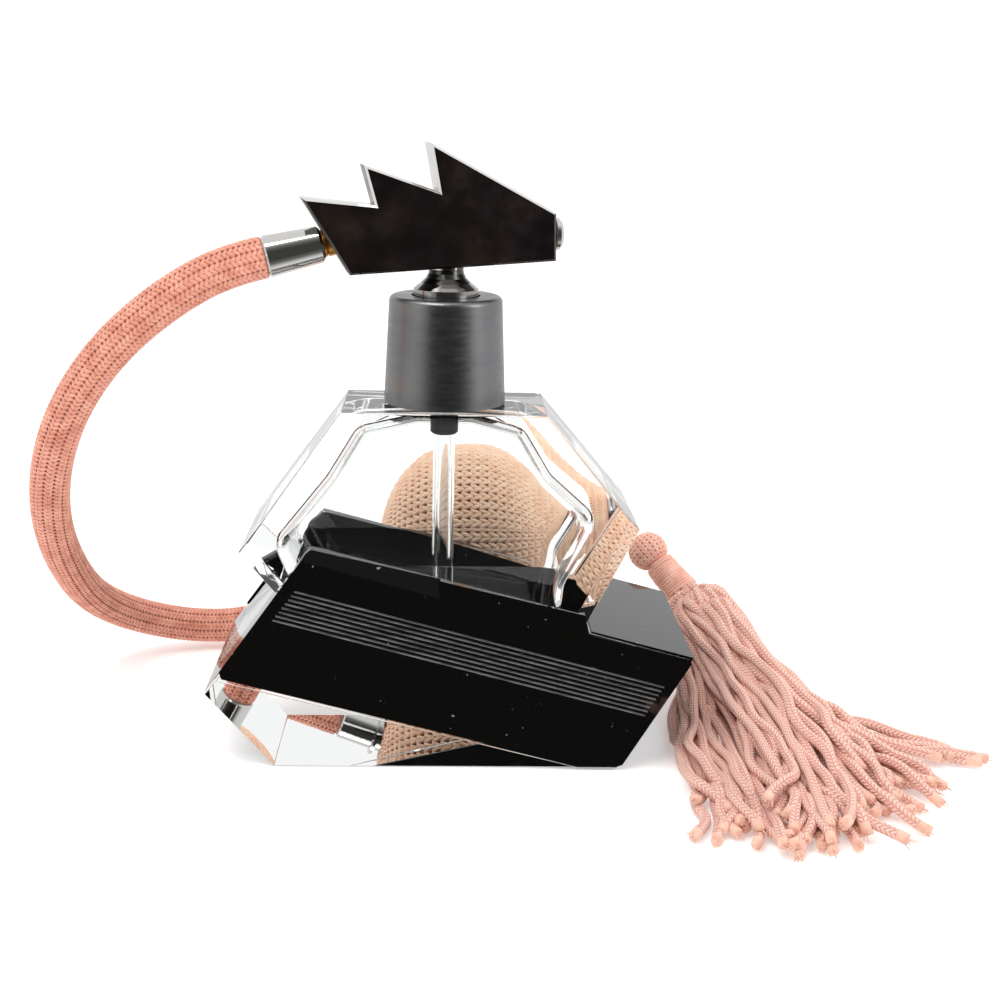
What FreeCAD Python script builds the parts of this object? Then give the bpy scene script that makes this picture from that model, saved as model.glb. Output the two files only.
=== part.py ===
"""Art Deco perfume atomiser: a cut crystal bottle with black enamel, a screw collar,
a swivelling sprayer head, and a braided hose to a net-covered squeeze bulb with a tassel.

Millimetres. X runs along the bottle's broad face, Y from its front to its back, Z up.
The origin is on the base plane, under the axis of the neck.
"""
import FreeCAD, Part
import math
import os

V = FreeCAD.Vector
UP = V(0, 0, 1)
ORIGIN = V(0, 0, 0)
FIT = 0.05            # radial running clearance between turning parts
GLUE = 0.04           # gap between parts that are cemented or pressed together
CLEAR = 0.3           # plain clearance, where nothing runs or seals
SPAN = 30             # half the reach of cutters and blanks, beyond the bottle's depth
REACH = 60            # and beyond its width

# ---- crystal bottle, as front-view (X, Z) corners ----
SHOULDER_Z = 70.4
UPPER_OUTLINE = [(-20.0, SHOULDER_Z), (20.0, SHOULDER_Z), (38.9, 48.0), (28.0, 28.6),
                 (-32.4, 34.8), (-39.9, 42.8)]
SLAB_TOP_LEFT = (-25.8, 43.4)
SLAB_TOP_RIGHT = (49.3, 23.6)
SLAB_FOOT_RIGHT = (35.7, 0.0)
SLAB_FOOT_LEFT = (27.5, 0.0)
SLAB_LOW_LEFT = (-44.5, 18.3)
SLAB_OUTLINE = [SLAB_TOP_LEFT, SLAB_TOP_RIGHT, SLAB_FOOT_RIGHT, SLAB_FOOT_LEFT, SLAB_LOW_LEFT]
WEDGE_OUTLINE = [(-43.0, 20.4), (-46.6, 15.5), (-33.1, 0.0), (34.6, 0.0), (31.0, 12.0), (-20.0, 24.0)]
SHOULDER_HALF = 11.7      # half the depth at the shoulder
WAIST_Z, WAIST_HALF = 28.0, 20.6   # the upper body's flanks run out to this half depth
SLAB_HALF = 20.2
WEDGE_HALF = 19.4
TUCK_CHAMFER = 3.5        # facet along the two front edges under the widest line
EDGE_ROUND = 0.45         # polished edges

# ---- cavity ----
CAVITY_OUTLINE = [(5.5, 69.2), (15.6, 66.6), (21.2, 57.6), (31.0, 49.2), (24.2, 36.0), (22.0, 13.5),
                  (-24.5, 25.2), (-33.6, 43.9), (-22.9, 57.0), (-17.0, 66.6), (-5.5, 69.2)]
CAVITY_LOWEST = 13.5
CAVITY_TOP_HALF, CAVITY_LOW_HALF = 6.6, 12.8
CAVITY_LOW_Z = 40.0
CAVITY_CORNER, CAVITY_ROUND = 4.5, 3.0   # corners of the outline, and creases round the walls

# ---- black enamel ----
ENAMEL = 0.35             # thickness outside the glass
LEDGE_LEFT = 29.2         # where the coat on the top right ledge begins
ENAMEL_BITE = 0.04        # how far the fired enamel keys into the glass
PANEL_OUTLINE = [(-25.2, 45.2), (-0.5, 39.4), (27.9, 32.6), (28.9, 28.7), (49.0, 23.5),
                 (49.3, 22.7), (36.6, 0.9), (35.0, 0.5), (28.6, 0.5), (-42.9, 18.9),
                 (-43.3, 20.4), (-26.2, 44.6)]
REAR_PANEL_OUTLINE = [(-27.3, 41.6), (-26.4, 42.7), (-25.0, 42.9), (-1.7, 36.6), (23.1, 29.0), (30.0, 27.6),
                      (48.6, 22.6), (36.6, 2.4), (35.6, 1.9), (30.0, 1.9), (-42.9, 18.9), (-43.3, 20.4),
                      (-28.6, 40.6)]
BAND_FOLD = [(-25.8, 43.0), (-0.4, 36.0), (30.0, 28.4)]   # where the top band folds back
BAND_TOP = [(-24.8, 45.6), (-0.5, 39.6), (28.4, 32.8)]    # and where it ends on the flank
GROOVE_COUNT = 8
GROOVE_PITCH = 1.0
GROOVE_SLOPE = -0.266
GROOVE_TOP_AT_AXIS = 29.6
GROOVE_WIDTH, GROOVE_DEPTH = 0.46, 0.26
GROOVE_LEFT_MARGIN, GROOVE_RIGHT_MARGIN = 1.7, 1.6
END_MARGIN = 0.5          # the end coat stops this far inside the front and back panels
END_FOOT = 1.0            # and this far above the base
END_NOTCH = 0.2           # its inner corner passes the glass's rounded edge by this much

# ---- neck and collar ----
NECK_R, NECK_BORE, NECK_ROOT, NECK_TOP = 8.5, 4.6, 71.0, 85.0
NECK_SINK = 3.0           # how far the neck's root runs down into the shoulder
RING_R, RING_BOTTOM, RING_TOP = 9.9, 70.6, 84.6
COLLAR_R_LOW, COLLAR_R_TOP = 12.1, 11.1
COLLAR_BOTTOM, COLLAR_TOP = 70.9, 91.9
COLLAR_BORE = 10.2
COLLAR_WEB = 88.0
COLLAR_EDGE = 1.1
THREAD_PITCH = 2.0
THREAD_DEPTH = 0.25
RING_THREAD = (72.6, 83.6)        # heights between which the ring is threaded
COLLAR_THREAD = (72.4, 85.0)      # and the collar
GASKET_R, GASKET_BOTTOM, GASKET_TOP = 8.3, 85.05, 86.4

# ---- stem and dip tube ----
SHANK_R, SHANK_BOTTOM = 4.0, 80.0
FLANGE_R, FLANGE_BOTTOM = 6.4, 90.7
BELL_NECK_R, BELL_TOP = 3.4, 96.85
SPIGOT_R, SPIGOT_TOP = 2.5, 99.6
NUT_R, NUT_BOTTOM, NUT_TOP = 7.4, 86.5, 87.8
LIQUID_R = 0.9
BELL = [(93.2, 6.4), (93.8, 5.7), (94.4, 4.9), (95.3, 3.95), (96.2, 3.5)]   # (height, radius)
FLANGE_BEVEL = 0.5
SOCKET_R, SOCKET_BOTTOM, SOCKET_TOP = 2.8, 64.2, 83.0
SOCKET_BEVEL = 0.4
TUBE_R, TUBE_BORE, TUBE_BOTTOM, TUBE_TOP = 2.2, 1.2, 21.6, 76.0

# ---- sprayer head, in its own plane (S along the head, Z up) ----
HEAD_YAW = 10.0           # degrees; the nozzle end is turned away to the back
HEAD_OUTLINE = [(-28.2, 110.4), (-14.4, 109.2), (-16.5, 116.6), (-2.2, 111.9),
                (-3.9, 120.9), (20.9, 108.1), (21.2, 98.9), (-19.2, 96.1)]
HEAD_THICK = 7.6
HEAD_CHAMFER = 0.42
BOSS_BOTTOM, BOSS_TOP = 97.0, 99.0
NIPPLE_ROOT = (-17.6, 103.2)      # (S, Z) where the nipple's axis starts inside the head
NIPPLE_DROP = 13.0                # degrees below level, towards the hose
NIPPLE_R, NIPPLE_BORE, NIPPLE_LENGTH = 2.6, 1.1, 13.2
NIPPLE_START, NIPPLE_SOCKET = 0.1, 14.0
BARB_START, BARB_PITCH, BARB_DEPTH = 5.6, 0.75, 0.3
FERRULE_START = 6.7               # from the nipple's root
FERRULE_LENGTH, FERRULE_R_IN, FERRULE_R_OUT = 11.1, 3.5, 4.0
FERRULE_SOCKET_R, FERRULE_SHOULDER = 3.3, 0.6     # where the hose's end is gripped
NOZZLE_AXIS_Z = 103.8
AIR_R = 1.5
NOZZLE_SEAT_R, NOZZLE_SEAT_DEPTH = 1.95, 4.6
# (distance past the head's end, radius) of the nozzle, from its stub to its dished mouth
NOZZLE_PROFILE = [(-4.3, 1.9), (0.35, 1.9), (0.35, 2.9), (0.65, 3.2), (1.35, 3.2), (1.95, 2.6),
                  (2.2, 1.6), (2.2, 0.9), (1.7, 0.5)]
NOZZLE_HOLE_R = 0.3
JET_R, JET_BORE = 0.6, 0.3
JET_SETBACK = 1.2                 # the pipe ends this far inside the head's end
BUSH_START, BUSH_LENGTH = 4.0, 2.0
AIR_SLOT = 0.8                    # flat that the bush leaves open above the pipe

# ---- hose, bulb and tassel ----
HOSE_D = 8.0
BULB_CENTRE = V(7.5, 46.8, 25.5)
BULB_AXIS = V(1, 0, 0)            # from the blunt end to the gathered tail
MOUTH_DROP = 21.0                 # degrees; the bulb's mouth faces left and down to the hose
MOUTH_FACE = 23.7                 # from the bulb's centre to the ferrule's flange
# (distance along the bulb's axis from its centre, radius of the net cover)
BULB_PROFILE = [(-22.5, 4.5), (-21.5, 9.0), (-19.9, 13.5), (-17.2, 18.0), (-12.5, 22.5), (-7.5, 24.6),
                (-2.0, 25.25), (3.5, 25.1), (8.0, 23.3), (12.5, 19.6), (16.5, 15.8), (21.0, 11.5),
                (25.5, 8.0), (29.0, 6.1), (31.5, 5.0)]
NET_THICK = 0.9
RUBBER_THICK = 2.0
TAIL_R = 3.3                      # the valve housing inside the tail
BUTTON_NECK_R = 1.2               # what the tassel's loop turns on
BULB_FERRULE_END, BULB_FERRULE_R = 33.2, 4.2
TASSEL_KNOB = V(49.2, 41.0, 26.5)
TASSEL_AXIS = V(5.4, -4.9, -5.5)
KNOB_R = 4.6
LOOP_R = 0.85
BINDING_START, BINDING_END = 4.0, 13.2
BINDING_R_START, BINDING_R_END = 3.6, 4.1
# the skirt's centre, half width and half height, from the binding to the tips
SKIRT = [((61.6, 23.0, 12.8), 7.4, 6.2), ((64.5, 8.0, 8.4), 12.5, 6.6), ((69.5, -9.0, 6.6), 19.0, 6.0),
         ((76.0, -24.0, 5.2), 26.0, 4.7), ((78.0, -38.0, 3.4), 28.0, 2.9), ((72.0, -50.0, 2.4), 20.0, 1.9)]

# The hose's route between its two ferrules. The first and last points are worked out below.
HOSE_ROUTE = [(-41.7, -7.36, 97.49), (-51.05, -8.62, 92.39), (-60.3, -8.5, 85.2), (-68.1, -7.1, 76.8),
              (-74.3, -4.5, 67.2), (-78.5, -0.9, 57.2), (-80.9, 3.9, 47.3), (-81.8, 10.2, 37.8),
              (-81.4, 17.6, 28.8), (-80.18, 25.64, 20.65), (-76.44, 33.93, 13.69), (-69.43, 40.44, 8.47),
              (-60.39, 44.57, 5.31), (-50.35, 46.42, 4.68), (-40.6, 46.75, 7.0), (-31.4, 46.8, 10.57)]
ARC_SHARE = 0.45                  # of the shorter run, taken by each arc


def polygon(points):
    return Part.Face(Part.makePolygon(points + [points[0]]))


def prism_y(outline, front, back):
    """A front-view outline of (X, Z) points, carried from Y=front to Y=back."""
    return polygon([V(x, front, z) for x, z in outline]).extrude(V(0, back - front, 0))


def prism_x(outline, left, right):
    """A side-view outline of (Y, Z) points, carried from X=left to X=right."""
    return polygon([V(left, y, z) for y, z in outline]).extrude(V(right - left, 0, 0))


def cylinder(r, bottom, top):
    return Part.makeCylinder(r, top - bottom, V(0, 0, bottom))


def ring(r_out, r_in, bottom, top):
    return cylinder(r_out, bottom, top).cut(cylinder(r_in, bottom - 1, top + 1))


def turned(profile, start=ORIGIN, axis=UP):
    """Revolves (distance along the axis, radius) points into a solid on the given axis."""
    ends = [(profile[0][0], 0.0)] + list(profile) + [(profile[-1][0], 0.0)]
    points = []
    for along, radius in ends:
        if not points or (points[-1] - V(radius, 0, along)).Length > 1e-6:
            points.append(V(radius, 0, along))
    solid = polygon(points).revolve(ORIGIN, UP, 360)
    return placed(solid, start, axis)


def turned_smooth(profile, start, axis):
    """Revolves a smooth curve through (distance, radius) points into a solid."""
    points = [V(radius, 0, along) for along, radius in profile]
    curve = Part.BSplineCurve()
    curve.interpolate(points)
    foot, head = V(0, 0, profile[0][0]), V(0, 0, profile[-1][0])
    edges = [Part.makeLine(foot, points[0]), curve.toShape(),
             Part.makeLine(points[-1], head), Part.makeLine(head, foot)]
    return placed(Part.Face(Part.Wire(edges)).revolve(ORIGIN, UP, 360), start, axis)


def placed(solid, start, axis):
    if solid.ShapeType != "Solid":
        solid = Part.Solid(solid) if solid.ShapeType == "Shell" else solid.Solids[0]
    solid.Placement = FreeCAD.Placement(start, FreeCAD.Rotation(UP, axis))
    return solid


def edges_where(shape, test):
    return [e for e in shape.Edges if test(e)]


def along_y(edge):
    if len(edge.Vertexes) < 2:
        return False
    step = edge.Vertexes[1].Point - edge.Vertexes[0].Point
    return abs(step.y) > 0.98 * step.Length


def one_solid(shape):
    shape = shape.removeSplitter()
    return shape.Solids[0] if len(shape.Solids) == 1 else shape


# ---------------------------------------------------------------- crystal bottle
def flank_half(z):
    """Half the upper body's depth at height z."""
    run = (SHOULDER_Z - z) / (SHOULDER_Z - WAIST_Z)
    return SHOULDER_HALF + run * (WAIST_HALF - SHOULDER_HALF)


def is_tuck_edge(edge):
    """The two edges under the widest line, where the front flank meets the tuck-in sides."""
    a, b = (v.Point for v in (edge.Vertexes[0], edge.Vertexes[-1]))
    middle = (a + b) * 0.5
    low, high = min(a.z, b.z), max(a.z, b.z)
    slanted = high - low > 2 and abs(a.x - b.x) > 2
    right = middle.x > UPPER_OUTLINE[3][0] and low > 27 and high < 49
    left = middle.x < UPPER_OUTLINE[4][0] and low > 33 and high < 44
    return slanted and middle.y < -SHOULDER_HALF and (left or right)


def upper_body():
    sides = prism_y(UPPER_OUTLINE, -SPAN, SPAN)
    flanks = prism_x([(-SHOULDER_HALF, SHOULDER_Z), (SHOULDER_HALF, SHOULDER_Z),
                      (WAIST_HALF, WAIST_Z), (-WAIST_HALF, WAIST_Z)], -REACH, REACH)
    body = sides.common(flanks)
    body = body.makeChamfer(TUCK_CHAMFER, edges_where(body, is_tuck_edge))
    return body.makeFillet(EDGE_ROUND, body.Edges)


def slab():
    block = prism_y(SLAB_OUTLINE, -SLAB_HALF, SLAB_HALF)
    return block.makeFillet(EDGE_ROUND, block.Edges)


def wedge():
    block = prism_y(WEDGE_OUTLINE, -WEDGE_HALF, WEDGE_HALF)
    return block.makeFillet(EDGE_ROUND, edges_where(block, lambda e: e.BoundBox.ZMin > 0.2 or along_y(e)))


def cavity():
    sides = prism_y(CAVITY_OUTLINE, -SPAN, SPAN)
    sides = sides.makeFillet(CAVITY_CORNER, edges_where(sides, along_y))
    top = CAVITY_OUTLINE[0][1]
    bottom = CAVITY_LOWEST
    depth = prism_x([(-CAVITY_TOP_HALF, top + 1), (CAVITY_TOP_HALF, top + 1),
                     (CAVITY_LOW_HALF, CAVITY_LOW_Z), (CAVITY_LOW_HALF, bottom - 1),
                     (-CAVITY_LOW_HALF, bottom - 1), (-CAVITY_LOW_HALF, CAVITY_LOW_Z)], -REACH, REACH)
    room = sides.common(depth)
    room = room.makeFillet(CAVITY_ROUND, edges_where(room, is_long_crease))
    return room.fuse(cylinder(NECK_BORE, top - 4, NECK_TOP + 1))


def is_long_crease(edge):
    """The creases round the cavity's front and back walls."""
    return not along_y(edge) and abs(edge.BoundBox.Center.y) > 5


def glass_bottle():
    glass = upper_body().fuse([slab(), wedge()])
    neck = cylinder(NECK_R, SHOULDER_Z - NECK_SINK, NECK_ROOT)
    glass = glass.fuse(neck).cut(cavity())
    return one_solid(glass)


def glass_neck():
    """The plain neck above its root, kept as its own body of glass so that its bore stays open."""
    return ring(NECK_R, NECK_BORE, NECK_ROOT, NECK_TOP)


# ---------------------------------------------------------------- enamel
def groove(index):
    """One V-shaped engraved line across the front panel, as a cutter."""
    z = GROOVE_TOP_AT_AXIS - index * GROOVE_PITCH
    half = GROOVE_WIDTH / 2
    face = -SLAB_HALF - ENAMEL
    mouth, root = face - FIT, face + GROOVE_DEPTH
    left = groove_end(z, SLAB_TOP_LEFT, SLAB_LOW_LEFT) + GROOVE_LEFT_MARGIN
    right = groove_end(z, SLAB_TOP_RIGHT, SLAB_FOOT_RIGHT) - GROOVE_RIGHT_MARGIN
    left_z, right_z = z + GROOVE_SLOPE * left, z + GROOVE_SLOPE * right
    section = polygon([V(left, mouth, left_z - half), V(left, root, left_z), V(left, mouth, left_z + half)])
    return section.extrude(V(right - left, 0, right_z - left_z))


def groove_end(z, top, foot):
    """Where a groove that crosses the axis at height z meets the line from top to foot."""
    slope = (top[1] - foot[1]) / (top[0] - foot[0])
    return (z - foot[1] + slope * foot[0]) / (slope - GROOVE_SLOPE)


def front_enamel(glass):
    """The front panel, with a band along its top that folds back onto the upper body's flank."""
    outer = SLAB_HALF + ENAMEL
    sheet = prism_y(PANEL_OUTLINE, -outer, -SHOULDER_HALF - 2)
    fold = [V(x, -outer, z) for x, z in BAND_FOLD]
    back = [V(x, -flank_half(z) - ENAMEL, z) for x, z in BAND_TOP]
    for i in range(2):
        plane = [fold[i], fold[i + 1], back[i + 1]]
        normal = (plane[1] - plane[0]).cross(plane[2] - plane[0]).normalize()
        if normal.y > 0:
            normal = normal * -1
        left = -REACH if i == 0 else BAND_FOLD[1][0]
        right = BAND_FOLD[i + 1][0]
        bay = Part.makeBox(right - left, REACH, REACH, V(left, -SPAN, SLAB_LOW_LEFT[1]))
        sheet = sheet.cut(half_space(fold[1], normal, REACH).common(bay))
    return keyed(sheet, glass, -1)


def rear_enamel(glass):
    outer = SLAB_HALF + ENAMEL
    return keyed(prism_y(REAR_PANEL_OUTLINE, outer, SLAB_HALF - 1), glass, 1)


def keyed(sheet, glass, side):
    """What is left of a sheet outside the glass, with its inner face sunk slightly into the glass."""
    inner = glass.copy()
    inner.translate(V(0, -side * ENAMEL_BITE, 0))
    solids = sheet.cut(inner).Solids
    solids.sort(key=lambda solid: -solid.Volume)
    return solids[0]


def half_space(point, normal, size):
    """A big block on the side of a plane that its normal points to."""
    block = Part.makeBox(2 * size, 2 * size, size, V(-size, -size, 0))
    block.Placement = FreeCAD.Placement(point, FreeCAD.Rotation(UP, normal))
    return block


def enamel_end():
    """The black coat over the slab's top right ledge and its right end."""
    half = SLAB_HALF - END_MARGIN
    run = math.hypot(SLAB_TOP_RIGHT[0] - SLAB_TOP_LEFT[0], SLAB_TOP_RIGHT[1] - SLAB_TOP_LEFT[1])
    tx, tz = (SLAB_TOP_RIGHT[0] - SLAB_TOP_LEFT[0]) / run, (SLAB_TOP_RIGHT[1] - SLAB_TOP_LEFT[1]) / run
    run = math.hypot(SLAB_FOOT_RIGHT[0] - SLAB_TOP_RIGHT[0], SLAB_FOOT_RIGHT[1] - SLAB_TOP_RIGHT[1])
    ex, ez = (SLAB_FOOT_RIGHT[0] - SLAB_TOP_RIGHT[0]) / run, (SLAB_FOOT_RIGHT[1] - SLAB_TOP_RIGHT[1]) / run
    start = (LEDGE_LEFT, SLAB_TOP_RIGHT[1] + (LEDGE_LEFT - SLAB_TOP_RIGHT[0]) * tz / tx)
    foot = (SLAB_FOOT_RIGHT[0] - ex * END_FOOT, SLAB_FOOT_RIGHT[1] - ez * END_FOOT)

    def off(point, amount, nx, nz):
        return point[0] + nx * amount, point[1] + nz * amount

    def corner(amount):
        """The slab's top right corner, moved out by the same amount from both faces."""
        ax, az = off(start, amount, -tz, tx)
        bx, bz = off(foot, amount, -ez, ex)
        det = tx * ez - tz * ex
        k = ((bx - ax) * ez - (bz - az) * ex) / det
        return ax + k * tx, az + k * tz

    outline = [off(start, ENAMEL, -tz, tx), corner(ENAMEL), off(foot, ENAMEL, -ez, ex),
               off(foot, -ENAMEL_BITE, -ez, ex), corner(-ENAMEL_BITE - END_NOTCH),
               off(start, -ENAMEL_BITE, -tz, tx)]
    return prism_y(outline, -half, half)


# ---------------------------------------------------------------- neck, collar, gasket
def thread_grooves(r, bottom, top, outward):
    """Shallow parallel grooves that stand for a thread, as cutters around radius r."""
    cutters = []
    z = bottom
    while z < top:
        inner = r - THREAD_DEPTH if outward else r - 1
        outer = r + 1 if outward else r + THREAD_DEPTH
        cutters.append(ring(outer, inner, z, z + THREAD_PITCH / 2))
        z += THREAD_PITCH
    return Part.makeCompound(cutters)


def neck_ring():
    sleeve = ring(RING_R, NECK_R + GLUE, RING_BOTTOM, RING_TOP)
    return one_solid(sleeve.cut(thread_grooves(RING_R, *RING_THREAD, True)))


def collar():
    wall = turned([(COLLAR_BOTTOM, COLLAR_R_LOW), (COLLAR_TOP, COLLAR_R_TOP)])
    wall = wall.makeFillet(COLLAR_EDGE, edges_where(
        wall, lambda e: e.BoundBox.ZMin > COLLAR_TOP - 0.1 and e.Length > 20))
    shell = wall.cut(cylinder(COLLAR_BORE, COLLAR_BOTTOM - 1, COLLAR_WEB))
    shell = shell.cut(cylinder(SHANK_R + CLEAR, COLLAR_WEB - 1, COLLAR_TOP + 1))
    shell = shell.cut(cylinder(FLANGE_R + CLEAR + 0.1, FLANGE_BOTTOM - CLEAR, COLLAR_TOP + 1))
    return one_solid(shell.cut(thread_grooves(COLLAR_BORE, *COLLAR_THREAD, False)))


def gasket():
    return ring(GASKET_R, SHANK_R + CLEAR, GASKET_BOTTOM, GASKET_TOP)


# ---------------------------------------------------------------- stem and dip tube
def stem():
    """The shank and its flange, which flares in under the head like a bell, with a spigot on top."""
    profile = [(SHANK_BOTTOM, SHANK_R), (FLANGE_BOTTOM, SHANK_R), (FLANGE_BOTTOM, FLANGE_R - FLANGE_BEVEL),
               (FLANGE_BOTTOM + FLANGE_BEVEL, FLANGE_R)]
    profile += BELL
    profile += [(BELL_TOP, BELL_NECK_R), (BELL_TOP, SPIGOT_R), (SPIGOT_TOP, SPIGOT_R)]
    solid = turned(profile)
    solid = solid.cut(cylinder(LIQUID_R, SHANK_BOTTOM - 1, SPIGOT_TOP + 1))
    return solid.cut(cylinder(SOCKET_R + GLUE, SHANK_BOTTOM - 1, SOCKET_TOP + GLUE))


def stem_nut():
    return ring(NUT_R, SHANK_R + GLUE, NUT_BOTTOM, NUT_TOP)


def tube_socket():
    plug = turned([(SOCKET_BOTTOM, SOCKET_R - SOCKET_BEVEL), (SOCKET_BOTTOM + SOCKET_BEVEL, SOCKET_R),
                   (SOCKET_TOP, SOCKET_R)])
    plug = plug.cut(cylinder(TUBE_R + GLUE, SOCKET_BOTTOM - 1, TUBE_TOP + GLUE))
    return plug.cut(cylinder(LIQUID_R, TUBE_TOP - 1, SOCKET_TOP + 1))


def dip_tube():
    return ring(TUBE_R, TUBE_BORE, TUBE_BOTTOM, TUBE_TOP)


# ---------------------------------------------------------------- sprayer head
def head_point(s, z, side=0.0):
    """A point in the head's own plane, moved sideways by side, turned to the head's yaw."""
    yaw = math.radians(HEAD_YAW)
    return V(s * math.cos(yaw) - side * math.sin(yaw), s * math.sin(yaw) + side * math.cos(yaw), z)


def head_plate():
    flat = polygon([V(s, 0, z) for s, z in HEAD_OUTLINE])
    inset = flat.makeOffset2D(-HEAD_CHAMFER, 2)
    half, rim = HEAD_THICK / 2, HEAD_THICK / 2 - HEAD_CHAMFER
    wires = []
    for face, y in ((inset, -half), (flat, -rim), (flat, rim), (inset, half)):
        wire = face.OuterWire.copy()
        wire.translate(V(0, y, 0))
        wires.append(wire)
    plate = Part.makeLoft(wires[0:2], True, True)
    plate = plate.fuse(Part.makeLoft(wires[1:3], True, True)).fuse(Part.makeLoft(wires[2:4], True, True))
    return one_solid(plate)


def nipple_axis():
    """The nipple's start and direction, with the head at its yaw."""
    drop = math.radians(NIPPLE_DROP)
    s, z = NIPPLE_ROOT
    step_s, step_z = -math.cos(drop), -math.sin(drop)
    start = head_point(s, z)
    return start, (head_point(s + step_s, z + step_z) - start).normalize()


def air_axis():
    start = head_point(NIPPLE_ROOT[0], NIPPLE_ROOT[1])
    end = head_point(HEAD_OUTLINE[5][0], NOZZLE_AXIS_Z)
    return start, end, (end - start).normalize()


def head_body():
    plate = head_plate()
    plate.rotate(ORIGIN, UP, HEAD_YAW)
    plate = plate.fuse(cylinder(BELL_NECK_R, BOSS_BOTTOM, BOSS_TOP))
    start, end, along = air_axis()
    nip_start, nip_dir = nipple_axis()
    cuts = [cylinder(SPIGOT_R + FIT, BOSS_BOTTOM - 1, SPIGOT_TOP + CLEAR),
            cylinder(LIQUID_R, SPIGOT_TOP, NOZZLE_AXIS_Z),
            Part.makeCylinder(AIR_R, (end - start).Length - 1, start, along),
            Part.makeCylinder(NOZZLE_SEAT_R, NOZZLE_SEAT_DEPTH + 2, end - along * NOZZLE_SEAT_DEPTH, along),
            Part.makeCylinder(NIPPLE_R + GLUE, NIPPLE_SOCKET, nip_start, nip_dir)]
    for cut in cuts:
        plate = plate.cut(cut)
    return one_solid(plate)


def nipple():
    """The brass pipe that the hose is pushed on, grooved along the part that shows."""
    start, along = nipple_axis()
    bar = [(NIPPLE_START, NIPPLE_R)]
    at = BARB_START
    while at < NIPPLE_LENGTH - BARB_PITCH:
        step = BARB_PITCH / 3
        bar += [(at, NIPPLE_R), (at + step, NIPPLE_R), (at + 2 * step, NIPPLE_R - BARB_DEPTH)]
        at += BARB_PITCH
    bar += [(at, NIPPLE_R), (NIPPLE_LENGTH, NIPPLE_R - BARB_DEPTH)]
    bore = Part.makeCylinder(NIPPLE_BORE, 2 * NIPPLE_LENGTH, start - along, along)
    return turned(bar, start, along).cut(bore)


def jet_tube():
    """The thin liquid pipe inside the air passage, with the flatted bush that centres it."""
    start, end, along = air_axis()
    share = -start.x / (end.x - start.x)
    riser = V(0, 0, start.z + (end.z - start.z) * share)
    length = (end - riser).Length - JET_SETBACK
    pipe = Part.makeCylinder(JET_R, length, riser, along)
    bush = Part.makeCylinder(AIR_R - GLUE, BUSH_LENGTH, riser + along * BUSH_START, along)
    slot = half_space(riser + UP * AIR_SLOT, UP, SPAN)
    bore = Part.makeCylinder(JET_BORE, length + 2, riser - along, along)
    return pipe.fuse(bush.cut(slot)).cut(bore)


def nozzle_tip():
    start, end, along = air_axis()
    tip = turned(NOZZLE_PROFILE, end, along)
    seat = end - along * NOZZLE_SEAT_DEPTH
    tip = tip.cut(Part.makeCylinder(JET_R + CLEAR, NOZZLE_SEAT_DEPTH + CLEAR, seat, along))
    return tip.cut(Part.makeCylinder(NOZZLE_HOLE_R, 2 * NOZZLE_SEAT_DEPTH, seat, along))


def hose_ferrule():
    """The plated sleeve that clamps the hose's end and turns on the nipple."""
    start, along = nipple_axis()
    near, far = FERRULE_START, FERRULE_START + FERRULE_LENGTH
    sleeve = turned([(near, FERRULE_R_IN - 0.5), (near + 0.5, FERRULE_R_IN), (far - 0.4, FERRULE_R_OUT),
                     (far, FERRULE_R_OUT - 0.3)], start, along)
    sleeve = sleeve.cut(Part.makeCylinder(NIPPLE_R + FIT, SPAN, start, along))
    socket = start + along * (NIPPLE_LENGTH + FERRULE_SHOULDER)
    return sleeve.cut(Part.makeCylinder(FERRULE_SOCKET_R, FERRULE_LENGTH, socket, along))


# ---------------------------------------------------------------- hose
def mouth_axis():
    """The way the bulb's mouth faces, along the ferrule to the hose."""
    drop = math.radians(MOUTH_DROP)
    return V(-math.cos(drop), 0, -math.sin(drop))


def hose_points():
    start, along = nipple_axis()
    first = start + along * (FERRULE_START + FERRULE_LENGTH)
    last = BULB_CENTRE + mouth_axis() * BULB_FERRULE_END
    return [first] + [V(*p) for p in HOSE_ROUTE] + [last]


def hose():
    """A tube of straight runs joined by arcs that are as large as the runs allow."""
    points = hose_points()
    edges, radii, at = [], [], points[0]
    for before, corner, after in zip(points, points[1:], points[2:]):
        into, out = corner - before, after - corner
        turn = into.getAngle(out)
        cut = ARC_SHARE * min(into.Length, out.Length)
        radii.append(cut / math.tan(turn / 2))
        into, out = into.normalize(), out.normalize()
        first, last = corner - into * cut, corner + out * cut
        bisector = (out - into).normalize()
        centre = corner + bisector * (radii[-1] / math.cos(turn / 2))
        edges.append(Part.makeLine(at, first))
        edges.append(Part.Arc(first, centre - bisector * radii[-1], last).toShape())
        at = last
    edges.append(Part.makeLine(at, points[-1]))
    path = Part.Wire(edges)
    print("hose length %.1f mm, arc radii" % path.Length, [round(r, 1) for r in radii])
    section = Part.Wire(Part.makeCircle(HOSE_D / 2, points[0], points[1] - points[0]))
    tube = path.makePipeShell([section], True, True)
    area = math.pi * HOSE_D ** 2 / 4
    print("hose volume %.0f, section x length %.0f" % (tube.Volume, area * path.Length))
    return tube if tube.ShapeType == "Solid" else tube.Solids[0]


# ---------------------------------------------------------------- bulb
def inset_profile(amount):
    """The bulb's profile moved inwards by an even amount, square to the curve."""
    result = []
    for i, (along, radius) in enumerate(BULB_PROFILE):
        a = BULB_PROFILE[max(i - 1, 0)]
        b = BULB_PROFILE[min(i + 1, len(BULB_PROFILE) - 1)]
        run = math.hypot(b[0] - a[0], b[1] - a[1])
        result.append((along + amount * (b[1] - a[1]) / run, radius - amount * (b[0] - a[0]) / run))
    return result


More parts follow.
